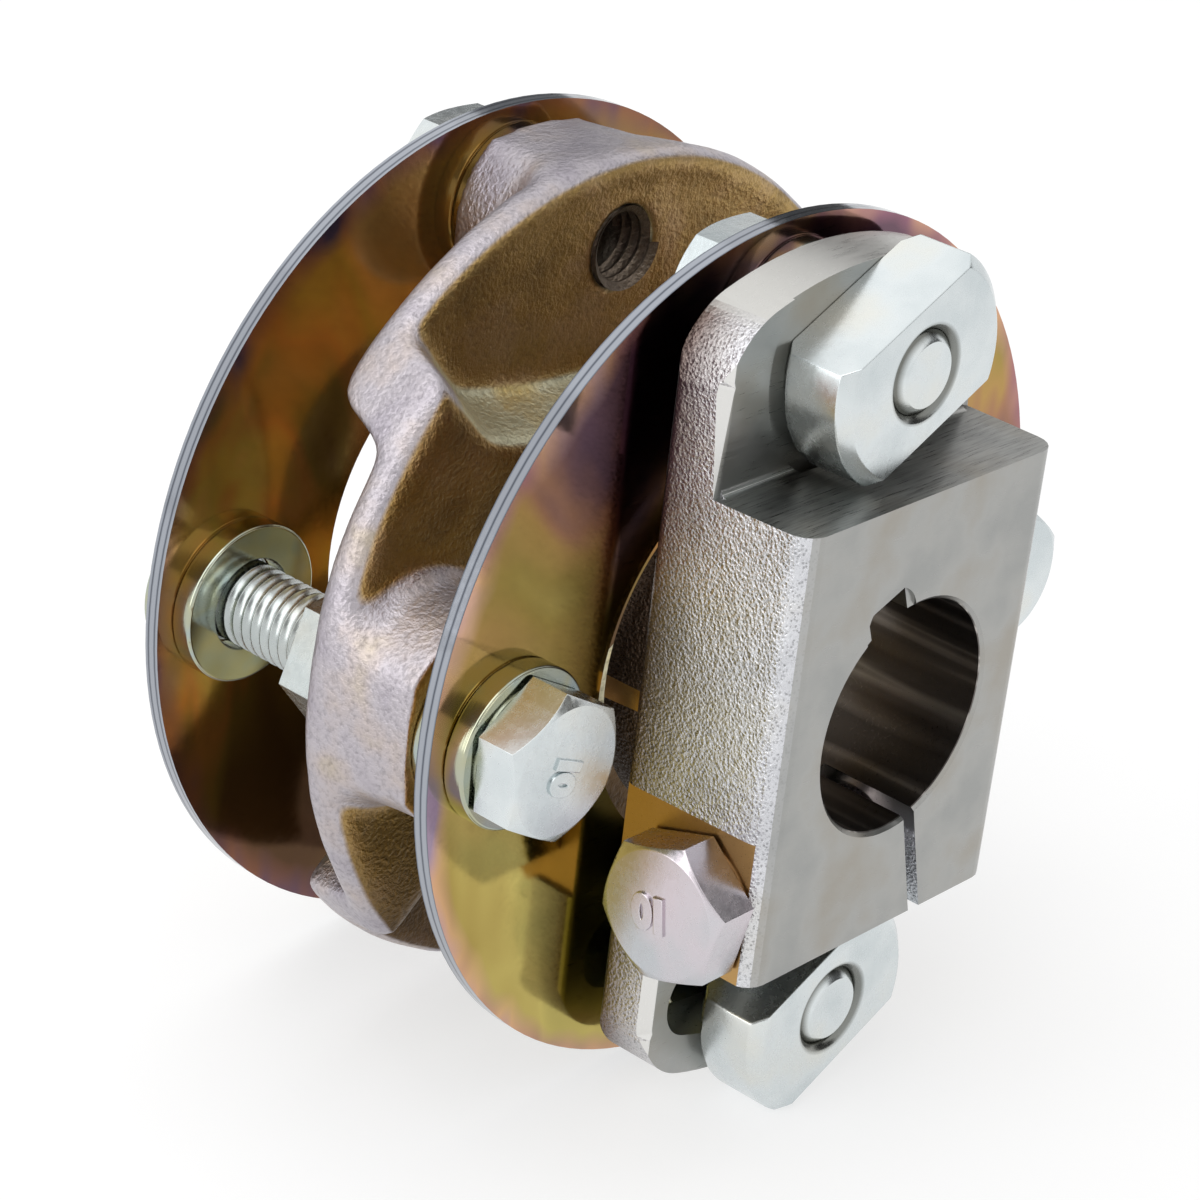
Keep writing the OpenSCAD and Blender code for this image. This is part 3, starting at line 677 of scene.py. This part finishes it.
def strength_mark(name, at, face_normal, text_up, height):
    """The plain number 10 that is raised on a hexagon head, its 1 a bare upright stroke."""
    bpy.ops.object.select_all(action="DESELECT")
    bpy.ops.object.text_add()
    number = bpy.context.object.data
    number.body = "I0"
    number.align_x = "CENTER"
    number.align_y = "CENTER"
    number.size = height * MM * SIZE_PER_FIGURE
    # Strokes 0.32 mm wider on each side, raised by 0.22 mm, with an edge of 0.12 mm
    number.offset = 0.32 * MM
    number.space_character = 1.15
    number.extrude = 0.22 * MM
    number.bevel_depth = 0.12 * MM
    number.bevel_resolution = 1
    number.resolution_u = 4
    bpy.ops.object.convert(target="MESH")
    piece = bpy.context.object
    out = Vector(face_normal).normalized()
    up = Vector(text_up).normalized()
    turned = Matrix((up.cross(out), up, out)).transposed().to_4x4()
    piece.matrix_world = Matrix.Translation(Vector(at) * MM) @ turned
    settle(piece, name)
    bpy.ops.object.shade_smooth_by_angle(angle=math.radians(40))
    return piece


def place_camera():
    """The camera at the photo's place, with its roll."""
    camera = bpy.data.cameras.new("camera")
    camera.sensor_width = 36.0
    camera.lens = CAMERA_LENS
    camera.clip_start = 0.01
    holder = bpy.data.objects.new("camera", camera)
    bpy.context.scene.collection.objects.link(holder)
    at = Vector(CAMERA_AT) * MM
    look = (Vector(CAMERA_AIM) * MM - at).normalized()
    level = look.cross(Vector((0, 0, 1))).normalized()
    upright = level.cross(look)
    turn = math.radians(CAMERA_ROLL)
    right = level * math.cos(turn) + upright * math.sin(turn)
    up = upright * math.cos(turn) - level * math.sin(turn)
    turned = Matrix((right, up, -look)).transposed().to_4x4()
    holder.matrix_world = Matrix.Translation(at) @ turned
    bpy.context.scene.camera = holder


def softbox(name, at, size, power):
    """A rectangular lamp at a place in metres, turned to the coupling."""
    lamp = bpy.data.lights.new(name, "AREA")
    lamp.shape = "RECTANGLE"
    lamp.size, lamp.size_y = size
    lamp.energy = power
    holder = bpy.data.objects.new(name, lamp)
    bpy.context.scene.collection.objects.link(holder)
    holder.location = at
    holder.rotation_euler = (AIM - Vector(at)).to_track_quat("-Z", "Y").to_euler()
    return holder


def dark_screen(name, direction, size, level):
    """A dark screen, a metre off, that no camera sees and only the metal reflects."""
    at = AIM + Vector(direction).normalized()
    turn = (-Vector(direction)).to_track_quat("Z", "Y").to_euler()
    bpy.ops.object.select_all(action="DESELECT")
    bpy.ops.mesh.primitive_plane_add(size=1.0, location=at, rotation=turn)
    screen = bpy.context.object
    screen.name = name
    screen.scale = (size[0], size[1], 1)
    bake_place()
    made = bpy.data.materials.new(name)
    tree = empty_tree(made)
    end_tree(tree, add_node(tree, "ShaderNodeEmission", {"Color": grey(level)}))
    screen.data.materials.append(made)
    screen.visible_camera = False
    screen.visible_diffuse = False
    screen.visible_shadow = False
    screen.visible_transmission = False


def seen_directly(tree):
    """1 for rays from the camera, from gloss and through glass, and 0 for light that scatters."""
    path = add_node(tree, "ShaderNodeLightPath").node
    either = add_node(tree, "ShaderNodeMath", {0: path.outputs["Is Camera Ray"],
                                               1: path.outputs["Is Glossy Ray"]},
                      operation="MAXIMUM")
    return add_node(tree, "ShaderNodeMath", {0: either, 1: path.outputs["Is Transmission Ray"]},
                    operation="MAXIMUM")


def studio():
    """White surroundings, four soft lamps, and screens that the polished faces reflect darkly."""
    scene = bpy.context.scene
    scene.view_settings.view_transform = "Standard"
    scene.world = bpy.data.worlds.new("studio")
    tree = empty_tree(scene.world)
    dim = add_node(tree, "ShaderNodeBackground", {"Color": grey(0.45)})
    white = add_node(tree, "ShaderNodeBackground", {"Color": grey(1.0)})
    both = add_node(tree, "ShaderNodeMixShader", {0: seen_directly(tree), 1: dim, 2: white})
    end_tree(tree, both, "ShaderNodeOutputWorld")
    # A lamp that the metal mirrors adds to the white surroundings there, so the strong top lamp
    # isn't mirrored and the rear one is weak
    softbox("key", (-0.6, 0.0, 0.8), (0.9, 0.9), 3.5)
    softbox("top", (0.15, 0.3, 0.95), (1.1, 1.1), 4.8).visible_glossy = False
    softbox("left", (-0.85, 0.35, 0.2), (0.4, 0.5), 1.2)
    softbox("rear", (0.1, 0.64, 0.8), (0.9, 0.7), 0.35)
    dark_screen("right_screen", (0.75, -0.6, 0.4), (0.9, 0.52), 0.04)
    dark_screen("left_screen", (-0.75, -0.45, 0.6), (0.6, 0.5), 0.3)
    dark_screen("rear_screen", (0.6, 0.75, 0.3), (0.7, 0.45), 0.1)


def lay_floor():
    """A plain pale table that turns white where it is seen directly, but keeps a soft shadow."""
    bpy.ops.object.select_all(action="DESELECT")
    bpy.ops.mesh.primitive_plane_add(size=6.0, location=(0, 0, cad_low[2]))
    floor = bpy.context.object
    floor.name = "floor"
    bake_place()
    made = bpy.data.materials.new("pale_table")
    tree = empty_tree(made)
    plain = add_node(tree, "ShaderNodeBsdfDiffuse", {"Color": grey(0.8)})
    faint = add_node(tree, "ShaderNodeBsdfDiffuse", {"Color": grey(0.38)})
    glow = add_node(tree, "ShaderNodeEmission", {"Color": grey(0.66)})
    lit = add_node(tree, "ShaderNodeAddShader", {0: faint, 1: glow})
    end_tree(tree, add_node(tree, "ShaderNodeMixShader", {0: seen_directly(tree), 1: plain,
                                                          2: lit}))
    floor.data.materials.append(made)


casting = soften_casting()
left_bolt = threaded_bolt("rear_left_bolt", -BOLT_CIRCLE)
right_bolt = threaded_bolt("rear_right_bolt", BOLT_CIRCLE)
top_thread = tapped_hole("top_hole_thread", BOLT_CIRCLE)
low_thread = tapped_hole("bottom_hole_thread", -BOLT_CIRCLE)
front_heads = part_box("front_left_bolt")[0][1] / MM
clamp_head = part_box("clamp_bolt")[0][0] / MM
left_mark = strength_mark("left_head_mark", (-BOLT_CIRCLE - 0.6, front_heads, -0.5), (0, -1, 0),
                          (0.93, 0, -0.37), 3.7)
right_mark = strength_mark("right_head_mark", (BOLT_CIRCLE, front_heads, 0), (0, -1, 0),
                           (0.3, 0, 1), 3.7)
clamp_mark = strength_mark("clamp_head_mark", (clamp_head, CLAMP_Y + 1.3, -CLAMP_DROP), (-1, 0, 0),
                           (0, -0.15, -1), 4.0)

# Pale blue white zinc on most bolts and nuts; on the flange bolts a darker copy of it, which is
# painted shade; rosy on the clamp bolt
zinc = zinc_plate("bright_zinc", "#cbd3d5", "#dae0e1", "#dfe0da")
shaded_zinc = zinc_plate("shaded_zinc", "#a9afae", "#b9bfbe", "#bfbfb7")
rosy_zinc = zinc_plate("rosy_zinc", "#c3c6ca", "#d0cacf", "#d6cbd2")
# The front disc drifts from plum and rust at the top to gold and olive, with a peach and lilac rim:
# the film's own colours, with painted reflection in the dark and the gold parts
front_film = passivated_spring_steel("passivated_front_disc", (0.0, 0.0, 0.0), 0.0, [
    (0.26, "#6c525f"), (0.36, "#86625c"), (0.42, "#a5785a"), (0.48, "#b38f52"), (0.56, "#a38c46"),
    (0.68, "#c4b263"), (0.8, "#a89c55")], [(0.35, "#b0788a"), (0.5, "#d8a884"), (0.65, "#a08ca0")])
# The rear disc is darker, which is partly painted shade: ochre and copper down to brown, with a rim
# of wine red and violet that is painted dark for shade
rear_film = passivated_spring_steel("passivated_rear_disc", (37.0, 0.0, 11.0), 0.22, [
    (0.25, "#9c7a40"), (0.36, "#b9884a"), (0.44, "#a8883c"), (0.52, "#ab7438"), (0.59, "#82682e"),
    (0.69, "#664a26"), (0.85, "#5a3c24")], [(0.35, "#6b4458"), (0.5, "#92604a"), (0.65, "#4a4468")])

made_apart = ("clamp_bolt", "rear_left_bolt", "rear_right_bolt")
zinc_pieces = [fine_edged(n, EDGE_ROUNDING) for n in nodes
               if n.endswith(("bolt", "nut")) and n not in made_apart]
dress([fine_edged("clamp_hub", HUB_EDGE_ROUNDING, on_ear_edge)],
      blasted_and_milled_steel())
dress(zinc_pieces + [left_mark, right_mark], zinc)
dress([left_bolt, right_bolt], shaded_zinc)
dress([fine_edged("clamp_bolt", EDGE_ROUNDING), clamp_mark], rosy_zinc)
dress([fine_edged(n, EDGE_ROUNDING) for n in nodes if n.endswith("washer")],
      turned_washer_zinc())
dress([nodes[n] for n in nodes if "front_lamina" in n], front_film)
dress([nodes[n] for n in nodes if "rear_lamina" in n], rear_film)
dress([casting, top_thread, low_thread], passivated_casting())

place_camera()
studio()
lay_floor()
